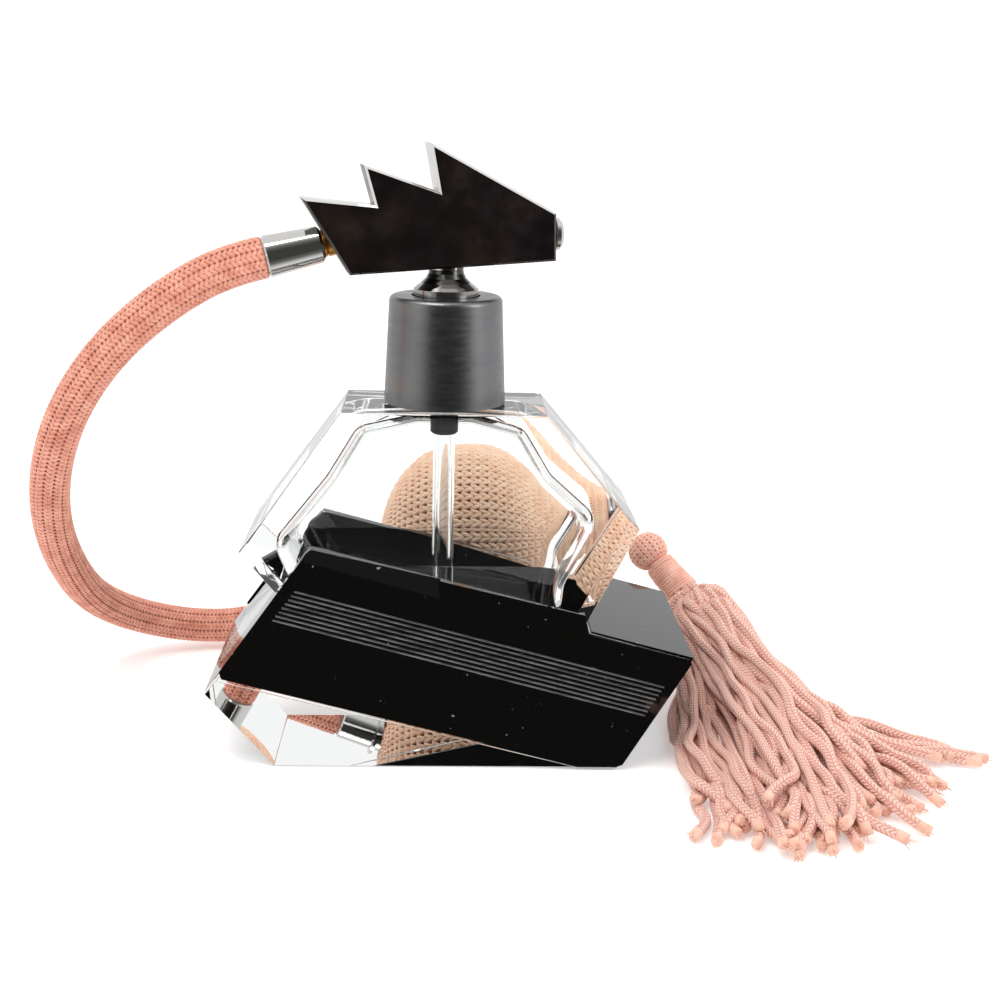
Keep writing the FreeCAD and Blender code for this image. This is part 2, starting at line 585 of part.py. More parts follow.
def bulb_shell(outside, inside):
    outer = turned_smooth(inset_profile(outside), BULB_CENTRE, BULB_AXIS)
    inner = turned_smooth(inset_profile(inside), BULB_CENTRE, BULB_AXIS)
    shell = outer.cut(inner)
    mouth = Part.makeCylinder(BULB_FERRULE_R + 0.05, 10, BULB_CENTRE + mouth_axis() * 18, mouth_axis())
    tail = Part.makeCylinder(TAIL_R + 0.15, 5, tail_point(-3.6), BULB_AXIS)
    return shell.cut(mouth).cut(tail)


def net_cover():
    return bulb_shell(0.0, NET_THICK)


def rubber_bulb():
    return bulb_shell(NET_THICK + 0.05, NET_THICK + RUBBER_THICK)


def bulb_ferrule():
    """The plated sleeve between the hose and the bulb, with a flange and a stub inside the bulb."""
    face, end, r = MOUTH_FACE, BULB_FERRULE_END, BULB_FERRULE_R
    sleeve = turned([(face - 3.6, r), (face, r), (face + 0.2, r + 1.2), (face + 1.0, r + 1.2),
                     (face + 1.3, r), (end - 0.4, r), (end, r - 0.3)], BULB_CENTRE, mouth_axis())
    return sleeve.cut(Part.makeCylinder(2.0, 40, BULB_CENTRE, mouth_axis()))


def tail_point(along):
    return BULB_CENTRE + BULB_AXIS * (BULB_PROFILE[-1][0] + along)


def tail_valve():
    """The intake valve housing in the bulb's tail, with a button end that the tassel hangs on."""
    body = turned([(-3.2, TAIL_R), (0.3, TAIL_R), (0.5, 4.6), (1.2, 4.6), (1.4, BUTTON_NECK_R),
                   (3.6, BUTTON_NECK_R), (3.6, 2.4), (4.6, 2.4)], tail_point(0), BULB_AXIS)
    body = body.cut(Part.makeCylinder(2.3, 2.6, tail_point(-1.8), BULB_AXIS))
    body = body.cut(Part.makeCylinder(1.0, 3, tail_point(-4), BULB_AXIS))
    return body.cut(Part.makeCylinder(0.3, 6, tail_point(0.75), UP))


def valve_disc():
    return Part.makeCylinder(2.1, 0.7, tail_point(-1.0), BULB_AXIS)


# ---------------------------------------------------------------- tassel
def tassel_point(along):
    direction = V(TASSEL_AXIS).normalize()
    return TASSEL_KNOB + direction * along


def tassel_loop():
    """The short cord from the tail's button to the tassel's knob, with an eye round the button's neck."""
    eye_at = tail_point(2.5)
    eye = Part.makeTorus(LOOP_R + BUTTON_NECK_R + 0.3, LOOP_R, eye_at, BULB_AXIS)
    knob = tassel_point(-KNOB_R + 0.9)
    towards = knob - eye_at
    flat = (towards - BULB_AXIS * towards.dot(BULB_AXIS)).normalize()
    start = eye_at + flat * (2 * LOOP_R + BUTTON_NECK_R)
    cord = Part.makeCylinder(LOOP_R, (knob - start).Length, start, (knob - start).normalize())
    return one_solid(eye.fuse(cord))


def tassel_knob():
    direction = V(TASSEL_AXIS).normalize()
    ball = Part.makeSphere(KNOB_R, TASSEL_KNOB)
    cut = half_space(tassel_point(BINDING_START), direction, 20)
    ball = ball.cut(cut)
    return ball.cut(tassel_loop().fuse(half_space(tassel_point(-KNOB_R + 1.0), direction * -1, 20)))


def tassel_binding():
    return turned([(BINDING_START + 0.02, BINDING_R_START), (BINDING_END, BINDING_R_END)],
                  TASSEL_KNOB, V(TASSEL_AXIS))


def tassel_skirt():
    direction = V(TASSEL_AXIS).normalize()
    sections = [Part.Wire(Part.makeCircle(BINDING_R_END, tassel_point(BINDING_END + 0.02), direction))]
    centres = [tassel_point(BINDING_END)] + [V(*c) for c, _, _ in SKIRT]
    for i, (centre, wide, high) in enumerate(SKIRT):
        ahead = centres[min(i + 2, len(centres) - 1)] - centres[i]
        ahead = V(ahead.x, ahead.y, ahead.z * 0.6 if i < 2 else 0).normalize()
        side = V(ahead.y, -ahead.x, 0).normalize()
        ellipse = Part.Ellipse(V(*centre) + side * wide, V(*centre) + side.cross(ahead).normalize() * high,
                               V(*centre))
        sections.append(Part.Wire(ellipse.toShape()))
    return Part.makeLoft(sections, True, True)


def main():
    os.makedirs("parts", exist_ok=True)
    glass = glass_bottle()
    front = front_enamel(glass)
    for index in range(GROOVE_COUNT):
        front = front.cut(groove(index))
    nodes = {
        "glass_bottle": glass,
        "glass_neck": glass_neck(),
        "front_enamel": front,
        "rear_enamel": rear_enamel(glass),
        "end_enamel": enamel_end(),
        "neck_ring": neck_ring(),
        "collar": collar(),
        "gasket": gasket(),
        "stem": stem(),
        "stem_nut": stem_nut(),
        "tube_socket": tube_socket(),
        "dip_tube": dip_tube(),
        "head_body": head_body(),
        "hose_nipple": nipple(),
        "jet_tube": jet_tube(),
        "nozzle_tip": nozzle_tip(),
        "hose_ferrule": hose_ferrule(),
        "hose": hose(),
        "bulb_ferrule": bulb_ferrule(),
        "rubber_bulb": rubber_bulb(),
        "net_cover": net_cover(),
        "tail_valve": tail_valve(),
        "valve_disc": valve_disc(),
        "tassel_loop": tassel_loop(),
        "tassel_knob": tassel_knob(),
        "tassel_binding": tassel_binding(),
        "tassel_skirt": tassel_skirt(),
    }
    for name, shape in nodes.items():
        box = shape.BoundBox
        print("%-15s valid %s solids %d volume %.1f X %.1f..%.1f Y %.1f..%.1f Z %.2f..%.1f" % (
            name, shape.isValid(), len(shape.Solids), shape.Volume,
            box.XMin, box.XMax, box.YMin, box.YMax, box.ZMin, box.ZMax))
        shape.exportStep("parts/%s.step" % name)


main()
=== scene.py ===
"""Looks for the perfume bottle: crystal, black enamel, worn plated metal, braid, net and tassel."""
import math

import bpy
import numpy as np
from mathutils import Matrix, Vector
from mathutils.kdtree import KDTree

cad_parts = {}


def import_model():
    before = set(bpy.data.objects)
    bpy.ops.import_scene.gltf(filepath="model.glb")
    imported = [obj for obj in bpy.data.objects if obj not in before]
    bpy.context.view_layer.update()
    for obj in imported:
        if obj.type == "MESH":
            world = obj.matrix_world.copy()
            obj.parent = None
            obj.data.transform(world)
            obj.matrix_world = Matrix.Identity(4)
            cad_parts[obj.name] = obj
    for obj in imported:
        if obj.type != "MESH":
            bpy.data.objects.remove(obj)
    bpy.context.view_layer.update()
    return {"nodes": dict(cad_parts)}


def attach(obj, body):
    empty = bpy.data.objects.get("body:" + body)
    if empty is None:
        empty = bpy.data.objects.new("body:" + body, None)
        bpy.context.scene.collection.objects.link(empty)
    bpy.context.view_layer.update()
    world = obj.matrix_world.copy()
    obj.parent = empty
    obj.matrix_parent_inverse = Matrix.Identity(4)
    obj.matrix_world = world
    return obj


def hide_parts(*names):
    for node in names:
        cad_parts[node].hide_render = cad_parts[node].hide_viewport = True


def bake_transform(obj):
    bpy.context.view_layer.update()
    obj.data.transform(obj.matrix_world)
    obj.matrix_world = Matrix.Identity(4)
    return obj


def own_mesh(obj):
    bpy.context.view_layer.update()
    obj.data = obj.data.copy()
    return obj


MM = 0.001
SEED = 7
HEAD_YAW = math.radians(10)
HOSE_R = 4.0
HOSE_POINTS = [(-34.41, -6.07, 99.2), (-41.7, -7.36, 97.49), (-51.05, -8.62, 92.39), (-60.3, -8.5, 85.2),
               (-68.1, -7.1, 76.8), (-74.3, -4.5, 67.2), (-78.5, -0.9, 57.2), (-80.9, 3.9, 47.3),
               (-81.8, 10.2, 37.8), (-81.4, 17.6, 28.8), (-80.18, 25.64, 20.65), (-76.44, 33.93, 13.69),
               (-69.43, 40.44, 8.47), (-60.39, 44.57, 5.31), (-50.35, 46.42, 4.68), (-40.6, 46.75, 7.0),
               (-31.4, 46.8, 10.57), (-23.5, 46.8, 13.6)]
BULB_CENTRE = (7.5, 46.8, 25.5)
BULB_PROFILE = [(-22.5, 4.5), (-21.5, 9.0), (-19.9, 13.5), (-17.2, 18.0), (-12.5, 22.5), (-7.5, 24.6),
                (-2.0, 25.25), (3.5, 25.1), (8.0, 23.3), (12.5, 19.6), (16.5, 15.8), (21.0, 11.5),
                (25.5, 8.0), (29.0, 6.1), (31.5, 5.0)]
NET_POLE = (-22.7, 0.4)              # where the net is gathered at the blunt end
KNOB = np.array([49.2, 41.0, 26.5])
TASSEL_AXIS = np.array([5.4, -4.9, -5.5]) / np.linalg.norm([5.4, -4.9, -5.5])
KNOB_R = 4.6
BINDING = (4.0, 13.2, 3.6, 4.1)      # start, end, radius at each
STRANDS = 70
STRAND_R = 1.03
STRAND_STEP = 1.5                    # distance between the points of a cord
SKIRT_HUB = (68.0, -6.0, 3.0)        # the tips are shortened towards this point
HOSE_WALES = 12                      # columns of stitches round the hose
HOSE_PITCH = 1.0                     # length of one stitch of the hose
NET_WALES = 74                       # columns of stitches round the bulb
NET_PITCH = 2.05                     # length of one stitch of the net
MOUTH_DROP = math.radians(21)        # how far the bulb's mouth points down
MOUTH_R = 4.9                        # opening in the net round the bulb's ferrule
RELAX_ROUNDS = 26
END_FOOT, END_SLOPE = 35.7, 0.5714   # the bottle's leaning right end, X at the floor and X per height
END_HALF_DEPTH, END_TOP = 21.8, 26   # how far that end reaches in Y and Z
GROOVE_Y = (-20.54, -20.25)          # between the grooves' floor and the enamel's face
GROOVE_FALL = 0.266                  # how steeply the ground lines fall to the right
GROOVE_START, GROOVE_BAND = 22.6, 7.0    # height of the lowest line at X = 0, and of the band of lines
GROOVE_TOP = 38
BELL_NECK_Z = 94.3                   # above this the stem is its neck, painted darker still as painted shade under the head
CAMERA_PLACE = (-0.54, -271.77, 126.06)
CAMERA_TURN = (2.56, 15.58, 1.41)    # yaw, pitch and roll in degrees
SENSOR, FOCAL_RATIO = 36, 1.37784    # sensor width, and focal length in sensor widths


def lin(r, g, b):
    """Linear colour from 0-255 display values."""
    linear = [(c / 255 / 12.92) if c < 10 else ((c / 255 + 0.055) / 1.055) ** 2.4 for c in (r, g, b)]
    return tuple(linear) + (1.0,)


# ---------------------------------------------------------------- materials
def material(name, color, metallic=0.0, roughness=0.5, **extra):
    mat = bpy.data.materials.new(name)
    mat.use_nodes = True
    bsdf = mat.node_tree.nodes["Principled BSDF"]
    bsdf.inputs["Base Color"].default_value = color
    bsdf.inputs["Metallic"].default_value = metallic
    bsdf.inputs["Roughness"].default_value = roughness
    for key, value in extra.items():
        bsdf.inputs[key.replace("_", " ")].default_value = value
    return mat


def node(mat, kind, **settings):
    n = mat.node_tree.nodes.new(kind)
    for key, value in settings.items():
        if isinstance(value, (int, float)) and key in n.inputs:
            n.inputs[key].default_value = value
        else:
            setattr(n, key, value)
    return n


def math_node(mat, operation, a, b=None):
    n = mat.node_tree.nodes.new("ShaderNodeMath")
    n.operation = operation
    for i, value in enumerate((a, b)):
        if value is None:
            continue
        if isinstance(value, (int, float)):
            n.inputs[i].default_value = value
        else:
            mat.node_tree.links.new(value, n.inputs[i])
    return n.outputs[0]


def noise(mat, scale, detail=3.0, stretch=None):
    """Noise in the object's own space, scale per metre, optionally stretched along X, Y, Z."""
    coord = mat.node_tree.nodes.new("ShaderNodeTexCoord")
    tex = node(mat, "ShaderNodeTexNoise", Scale=scale, Detail=detail)
    if stretch:
        mapping = mat.node_tree.nodes.new("ShaderNodeMapping")
        mapping.inputs["Scale"].default_value = stretch
        mat.node_tree.links.new(coord.outputs["Object"], mapping.inputs["Vector"])
        mat.node_tree.links.new(mapping.outputs[0], tex.inputs["Vector"])
    else:
        mat.node_tree.links.new(coord.outputs["Object"], tex.inputs["Vector"])
    return tex.outputs["Fac"]


def ramp(mat, source, stops):
    """A colour ramp from (position, colour) stops."""
    n = mat.node_tree.nodes.new("ShaderNodeValToRGB")
    elements = n.color_ramp.elements
    while len(elements) < len(stops):
        elements.new(0.5)
    for element, (position, color) in zip(elements, stops):
        element.position = position
        element.color = color if len(color) == 4 else tuple(color) + (1.0,)
    mat.node_tree.links.new(source, n.inputs[0])
    return n.outputs[0]


def grey(v):
    return (v, v, v, 1.0)


def link(mat, source, socket):
    mat.node_tree.links.new(source, mat.node_tree.nodes["Principled BSDF"].inputs[socket])


def bump(mat, height, strength, distance):
    n = node(mat, "ShaderNodeBump", Strength=strength, Distance=distance)
    mat.node_tree.links.new(height, n.inputs["Height"])
    link(mat, n.outputs[0], "Normal")


def crystal_material():
    return material("crystal", (0.965, 0.978, 0.974, 1), 0.0, 0.0, IOR=1.52, Transmission_Weight=1.0)


def tube_material():
    return material("clear_tube", (0.93, 0.95, 0.94, 1), 0.0, 0.03, IOR=1.47, Transmission_Weight=1.0)


def enamel_material():
    mat = material("black_enamel", (0.0015, 0.0012, 0.001, 1), 0.0, 0.06, IOR=1.52)
    chips = ramp(mat, noise(mat, 900, 2.0), [(0.0, grey(0.0)), (0.755, grey(0.0)), (0.775, grey(1.0))])
    tint = mat.node_tree.nodes.new("ShaderNodeMix")
    tint.data_type = "RGBA"
    tint.inputs[6].default_value = (0.0015, 0.0012, 0.001, 1)
    tint.inputs[7].default_value = (0.25, 0.22, 0.19, 1)
    mat.node_tree.links.new(chips, tint.inputs[0])
    link(mat, tint.outputs[2], "Base Color")
    link(mat, ramp(mat, noise(mat, 60, 4.0), [(0.3, grey(0.03)), (0.7, grey(0.11))]), "Roughness")
    return mat


def groove_material():
    # painted highlight: a grey, part-metallic colour on the groove walls stands in for the light they
    # catch, streaked by stretched noise
    mat = material("groove_painted_highlight", (0.2, 0.19, 0.18, 1), 0.3, 0.42)
    scratches_in_highlight = noise(mat, 260, 3.0, (0.25, 1.0, 4.0))
    link(mat, ramp(mat, scratches_in_highlight, [(0.3, grey(0.10)), (0.7, grey(0.30))]), "Base Color")
    return mat


def pewter_material():
    mat = material("pewter", (0.2, 0.2, 0.2, 1), 1.0, 0.34)
    streak = ramp(mat, noise(mat, 40, 5.0, (1.0, 1.0, 6.0)),
                  [(0.25, (0.15, 0.15, 0.15)), (0.55, (0.185, 0.188, 0.193)),
                   (0.8, (0.215, 0.19, 0.17))])
    link(mat, streak, "Base Color")
    wear = noise(mat, 300, 5.0, (1.0, 1.0, 5.0))
    link(mat, ramp(mat, wear, [(0.3, grey(0.30)), (0.7, grey(0.42))]), "Roughness")
    bump(mat, noise(mat, 500, 4.0, (0.6, 0.6, 7.0)), 0.04, 0.0001)
    return mat


def dark_mirror_material():
    mat = material("tarnished_mirror", (0.03, 0.024, 0.022, 1), 1.0, 0.2)
    cloud = ramp(mat, noise(mat, 90, 6.0),
                 [(0.3, (0.075, 0.060, 0.068)), (0.52, (0.130, 0.096, 0.092)),
                  (0.74, (0.26, 0.17, 0.12))])
    link(mat, cloud, "Base Color")
    link(mat, ramp(mat, noise(mat, 220, 6.0), [(0.3, grey(0.12)), (0.72, grey(0.34))]), "Roughness")
    return mat


def plated_material(name, color, rough):
    mat = material(name, color, 1.0, rough)
    stops = [(0.35, grey(rough)), (0.75, grey(rough * 1.8 + 0.02))]
    link(mat, ramp(mat, noise(mat, 350, 5.0), stops), "Roughness")
    return mat


def brass_material():
    return material("aged_brass", (0.55, 0.28, 0.06, 1), 1.0, 0.3)


def fabric_material(name, light, dark, roughness=0.62):
    """Twisted silky yarn, coloured a little unevenly."""
    mat = material(name, light, 0.0, roughness, Sheen_Weight=0.25, Specular_IOR_Level=0.25)
    link(mat, ramp(mat, noise(mat, 380, 4.0), [(0.3, dark), (0.62, light)]), "Base Color")
    bump(mat, noise(mat, 2600, 2.0), 0.35, 0.0002)
    return mat


def cord_material(name, light, dark, columns, pitch):
    """A knitted cord, its chevrons laid out in the tube's own UV (round the cord, millimetres along it)."""
    mat = material(name, light, 0.0, 0.5, Sheen_Weight=0.2, Specular_IOR_Level=0.3)
    uv = mat.node_tree.nodes.new("ShaderNodeUVMap")
    uv.uv_map = "cord"
    split = mat.node_tree.nodes.new("ShaderNodeSeparateXYZ")
    mat.node_tree.links.new(uv.outputs[0], split.inputs[0])
    column = math_node(mat, "FRACT", math_node(mat, "MULTIPLY", split.outputs[0], float(columns)))
    off = math_node(mat, "ABSOLUTE", math_node(mat, "SUBTRACT", column, 0.5))
    phase = math_node(mat, "ADD", math_node(mat, "DIVIDE", split.outputs[1], pitch),
                      math_node(mat, "MULTIPLY", off, 1.7))
    wave = math_node(mat, "ABSOLUTE", math_node(mat, "SINE", math_node(mat, "MULTIPLY", phase, math.pi)))
    edge = math_node(mat, "MINIMUM", math_node(mat, "MULTIPLY", off, 8.0), 1.0)
    height = math_node(mat, "MULTIPLY", wave, edge)
    # painted shade and painted highlight: the colour follows the stitches' height, darker in the hollows
    # between chevrons and columns, lighter on the ridges
    link(mat, ramp(mat, height, [(0.05, dark), (0.75, light)]), "Base Color")
    bump(mat, height, 0.8, 0.0003)
    return mat


# ---------------------------------------------------------------- meshes
def make_mesh(name, verts, faces, mat, uvs=None):
    mesh = bpy.data.meshes.new(name)
    places = [tuple(v) for v in np.asarray(verts) * MM]
    mesh.from_pydata(places, [], [tuple(int(i) for i in f) for f in faces])
    mesh.polygons.foreach_set("use_smooth", [True] * len(mesh.polygons))
    if uvs is not None:
        layer = mesh.uv_layers.new(name="cord")
        layer.data.foreach_set("uv", np.asarray(uvs, np.float32).ravel())
    mesh.materials.append(mat)
    obj = bpy.data.objects.new(name, mesh)
    bpy.context.scene.collection.objects.link(obj)
    return obj


def frames(points):
    """Tangents and two steady cross directions along a line of points."""
    p = np.asarray(points, float)
    t = np.gradient(p, axis=0)
    t /= np.linalg.norm(t, axis=1)[:, None]
    side = np.zeros_like(p)
    ref = np.array([0.0, 0.0, 1.0]) if abs(t[0][2]) < 0.9 else np.array([1.0, 0.0, 0.0])
    side[0] = np.cross(t[0], ref)
    side[0] /= np.linalg.norm(side[0])
    for i in range(1, len(p)):
        v = side[i - 1] - t[i] * side[i - 1].dot(t[i])
        side[i] = v / np.linalg.norm(v)
    return t, side, np.cross(t, side)


def tube(points, radius, sides):
    """Vertices, faces and (round, mm along) corner UVs of a closed tube."""
    p = np.asarray(points, float)
    t, a, b = frames(p)
    radius = np.broadcast_to(radius, len(p))
    ang = np.arange(sides) * 2 * math.pi / sides
    ringed = (np.cos(ang)[None, :, None] * a[:, None, :] + np.sin(ang)[None, :, None] * b[:, None, :])
    verts = (p[:, None, :] + radius[:, None, None] * ringed).reshape(-1, 3)
    along = np.r_[0, np.cumsum(np.linalg.norm(np.diff(p, axis=0), axis=1))]
    faces, uvs = [], []
    for i in range(len(p) - 1):
        for k in range(sides):
            k2 = (k + 1) % sides
            faces.append((i * sides + k, i * sides + k2, (i + 1) * sides + k2, (i + 1) * sides + k))
            uvs += [(k / sides, along[i]), ((k + 1) / sides, along[i]),
                    ((k + 1) / sides, along[i + 1]), (k / sides, along[i + 1])]
    n = len(verts)
    verts = np.vstack([verts, p[0] - t[0] * radius[0] * 0.2, p[-1] + t[-1] * radius[-1] * 0.2])
    last = (len(p) - 1) * sides
    for k in range(sides):
        k2 = (k + 1) % sides
        faces.append((k2, k, n))
        faces.append((last + k, last + k2, n + 1))
        uvs += [(0, along[0])] * 3 + [(0, along[-1])] * 3
    return verts, faces, uvs


def stitches(surface, rows, wales, yarn, lift, spread=0.46, reach=1.35, rings=6, sides=6, keep=None):
    """V-shaped stitches on a surface. surface(row, wale, height) gives points for arrays of the three."""
    t = np.linspace(0, 1, rings)
    leg_w = 0.05 + spread * np.sin(t * math.pi / 2) ** 1.2
    leg_r = reach * t
    leg_h = lift * np.sin(math.pi * t) ** 0.8
    size = yarn * (0.55 + 0.45 * np.sin(math.pi * np.clip(t, 0.06, 0.94)) ** 0.6)
    verts, faces = [], []
    base = 0
    ang = np.arange(sides) * 2 * math.pi / sides
    pattern = []
    for i in range(rings - 1):
        for k in range(sides):
            k2 = (k + 1) % sides
            pattern.append((i * sides + k, i * sides + k2, (i + 1) * sides + k2, (i + 1) * sides + k))
    pattern = np.array(pattern)
    row, wale = np.meshgrid(np.arange(rows), np.arange(wales), indexing="ij")
    row, wale = row.ravel().astype(float), wale.ravel().astype(float)
    for sign in (-1, 1):
        r = row[:, None] + leg_r[None, :]
        w = wale[:, None] + sign * leg_w[None, :]
        h = np.broadcast_to(leg_h[None, :], r.shape)
        centre = surface(r, w, h)
        out = surface(r, w, h + 0.2) - centre
        out /= np.linalg.norm(out, axis=2)[..., None] + 1e-9
        along = np.gradient(centre, axis=1)
        along /= np.linalg.norm(along, axis=2)[..., None] + 1e-9
        cross = np.cross(along, out)
        cross /= np.linalg.norm(cross, axis=2)[..., None] + 1e-9
        scale = surface(r, w + 0.5, h) - surface(r, w - 0.5, h)
        width = np.minimum(1.0, np.linalg.norm(scale, axis=2) / (3.1 * yarn))
        rad = size[None, :] * width
        pts = (centre[:, :, None, :]
               + (np.cos(ang)[None, None, :, None] * cross[:, :, None, :]
                  + 0.85 * np.sin(ang)[None, None, :, None] * out[:, :, None, :]) * rad[:, :, None, None])
        if keep is not None:
            mid = centre[:, rings // 2]
            pts = pts[keep(mid)]
        count = len(pts)
        verts.append(pts.reshape(-1, 3))
        offsets = base + np.arange(count)[:, None, None] * rings * sides
        faces.append((pattern[None] + offsets).reshape(-1, 4))
        base += count * rings * sides
    return np.vstack(verts), np.vstack(faces)


def along_path(points):
    """Functions for the place and cross directions at a distance along a line of points."""
    p = np.asarray(points, float)
    t, a, b = frames(p)
    s = np.r_[0, np.cumsum(np.linalg.norm(np.diff(p, axis=0), axis=1))]

    def at(d):
        d = np.clip(d, 0, s[-1])
        return [np.stack([np.interp(d, s, q[:, k]) for k in range(3)], -1) for q in (p, a, b)]

    return s[-1], at


# ---------------------------------------------------------------- hose
def hose_line():
    curve = bpy.data.curves.new("hose_line", "CURVE")
    curve.dimensions = "3D"
    curve.resolution_u = 12
    spline = curve.splines.new("NURBS")
    spline.points.add(len(HOSE_POINTS) - 1)
    for point, place in zip(spline.points, HOSE_POINTS):
        point.co = (place[0] * MM, place[1] * MM, place[2] * MM, 1)
    spline.order_u = 3
    spline.use_endpoint_u = True
    holder = bpy.data.objects.new("hose_line", curve)
    bpy.context.scene.collection.objects.link(holder)
    bpy.context.view_layer.update()
    mesh = bpy.data.meshes.new_from_object(holder)
    points = np.array([v.co for v in mesh.vertices]) / MM
    bpy.data.objects.remove(holder)
    bpy.data.meshes.remove(mesh)
    return points


def hose(mat):
    line = hose_line()
    length, at = along_path(line)
    rows = int(length / HOSE_PITCH) - 1

    def surface(row, wale, height):
        place, a, b = at(0.3 + row * (length - 0.6) / (rows + 0.35))
        ang = wale * 2 * math.pi / HOSE_WALES
        radial = np.cos(ang)[..., None] * a + np.sin(ang)[..., None] * b
        return place + radial * (HOSE_R - 0.42 + height)[..., None]

    verts, faces = stitches(surface, rows, HOSE_WALES, 0.46, 0.12, spread=0.42, reach=1.15)
    core, core_faces, _ = tube(line, HOSE_R - 0.45, 20)
    faces = [tuple(f) for f in faces] + [tuple(i + len(verts) for i in f) for f in core_faces]
    obj = make_mesh("hose_braid", np.vstack([verts, core]), faces, mat)
    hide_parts("hose")
    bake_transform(obj)
    return obj


# ---------------------------------------------------------------- bulb
def net_cover(mat, shade):
    xs, rs = np.array([NET_POLE] + BULB_PROFILE).T
    s = np.r_[0, np.cumsum(np.hypot(np.diff(xs), np.diff(rs)))]
    fine = np.linspace(0, s[-1], 400)
    fx, fr = np.interp(fine, s, xs), np.interp(fine, s, rs)
    kernel = np.hanning(31)
    kernel /= kernel.sum()
    fx = np.convolve(np.pad(fx, 15, "edge"), kernel, "valid")
    fr = np.convolve(np.pad(fr, 15, "edge"), kernel, "valid")
    nx, nr = np.gradient(fr), -np.gradient(fx)
    n = np.hypot(nx, nr)
    nx, nr = -nx / n, -nr / n
    rows = int(s[-1] / NET_PITCH)

    def surface(row, wale, height):
        d = np.clip(row / (rows + 0.4), 0, 1) * s[-1]
        x, r = np.interp(d, fine, fx), np.interp(d, fine, fr)
        ox, orr = np.interp(d, fine, nx), np.interp(d, fine, nr)
        h = height - 0.5
        x, r = x + ox * h, r + orr * h
        ang = wale * 2 * math.pi / NET_WALES
        return np.stack([x, r * np.cos(ang), r * np.sin(ang)], -1) + np.array(BULB_CENTRE)

    mouth = np.array([-math.cos(MOUTH_DROP), 0, -math.sin(MOUTH_DROP)])

    def keep(mid):
        rel = mid - np.array(BULB_CENTRE)
        d = rel @ mouth
        off = np.linalg.norm(rel - d[:, None] * mouth, axis=1)
        return ~((d > 0) & (off < MOUTH_R))

    verts, faces = stitches(surface, rows, NET_WALES, 0.50, 0.42, spread=0.42, reach=1.3, keep=keep)
    # the lining: a darker sheet under the stitches, painted shade seen in the gaps between them
    rings, sides = 60, 64
    row, wale = np.meshgrid(np.linspace(0, rows + 0.4, rings),
                            np.linspace(0, NET_WALES, sides + 1)[:-1], indexing="ij")
    lining = surface(row, wale, np.full(row.shape, -0.45)).reshape(-1, 3)
    patches = []
    for i in range(rings - 1):
        for k in range(sides):
            k2 = (k + 1) % sides
            patches.append((i * sides + k, i * sides + k2, (i + 1) * sides + k2, (i + 1) * sides + k))
    patches = np.array(patches)
    patches = patches[keep(lining[patches].mean(axis=1))]
    count = len(faces)
    faces = np.vstack([faces, patches + len(verts)])
    obj = make_mesh("net_knit", np.vstack([verts, lining]), faces, mat)
    obj.data.materials.append(shade)
    obj.data.polygons.foreach_set("material_index", [0] * count + [1] * len(patches))
    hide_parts("net_cover")
    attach(obj, "bulb")
    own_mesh(obj)
    return obj


def rubber_wall(mat):
    """The bulb's rubber wall under the net, which gives way with it."""
    source = frame["nodes"]["rubber_bulb"]
    obj = bpy.data.objects.new("rubber_wall", source.data.copy())
    obj.data.materials.clear()
    obj.data.materials.append(mat)
    obj.matrix_world = source.matrix_world.copy()
    bpy.context.scene.collection.objects.link(obj)
    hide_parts("rubber_bulb")
    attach(obj, "bulb")
    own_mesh(obj)
    return obj


# ---------------------------------------------------------------- tassel
def tassel_axes():
    a = TASSEL_AXIS
    side = np.cross(a, [0, 0, 1.0])
    side /= np.linalg.norm(side)
    return a, side, np.cross(side, a)


def knob(mat):
    a, side, up = tassel_axes()
    wales, rows = 20, 9

    def surface(row, wale, height):
        lat = -1.25 + (row / (rows + 0.4)) * 2.35
        ang = wale * 2 * math.pi / wales
        radial = np.cos(ang)[..., None] * side + np.sin(ang)[..., None] * up
        r = (KNOB_R - 0.3 + height)[..., None]
        return KNOB + r * (np.cos(lat)[..., None] * radial + np.sin(lat)[..., None] * a)

    verts, faces = stitches(surface, rows, wales, 0.36, 0.12, spread=0.42, reach=1.25)
    core = []
    for lat in np.linspace(-1.5, 1.5, 12):
        for ang in np.arange(20) * 2 * math.pi / 20:
            radial = math.cos(ang) * side + math.sin(ang) * up
            core.append(KNOB + (KNOB_R - 0.32) * (math.cos(lat) * radial + math.sin(lat) * a))
    quads = [(i * 20 + k, i * 20 + (k + 1) % 20, (i + 1) * 20 + (k + 1) % 20, (i + 1) * 20 + k)
             for i in range(11) for k in range(20)]
    faces = np.vstack([faces, np.array(quads) + len(verts)])
    obj = make_mesh("knob_net", np.vstack([verts, core]), faces, mat)
    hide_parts("tassel_knob")
    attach(obj, "tassel")
    return obj


def binding(mat):
    a, side, up = tassel_axes()
    start, end, r0, r1 = BINDING
    turns = 13
    t = np.linspace(0, 1, turns * 22)
    rng = np.random.default_rng(SEED)
    wobble = np.interp(t, np.linspace(0, 1, 40), rng.normal(0, 0.07, 40))
    ang = t * turns * 2 * math.pi
    r = r0 + (r1 - r0) * t - 0.32 + wobble
    d = start + 0.2 + (end - start - 0.4) * t + wobble
    line = KNOB + d[:, None] * a + r[:, None] * (np.cos(ang)[:, None] * side + np.sin(ang)[:, None] * up)
    verts, faces, uvs = tube(line, 0.42, 6)
    core, core_faces, core_uvs = tube(KNOB + np.linspace(start, end + 0.4, 8)[:, None] * a, r0 - 0.25, 16)
    faces = [tuple(f) for f in faces] + [tuple(i + len(verts) for i in f) for f in core_faces]
    obj = make_mesh("binding_thread", np.vstack([verts, core]), faces, mat, uvs + core_uvs)
    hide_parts("tassel_binding")
    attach(obj, "tassel")
    return obj


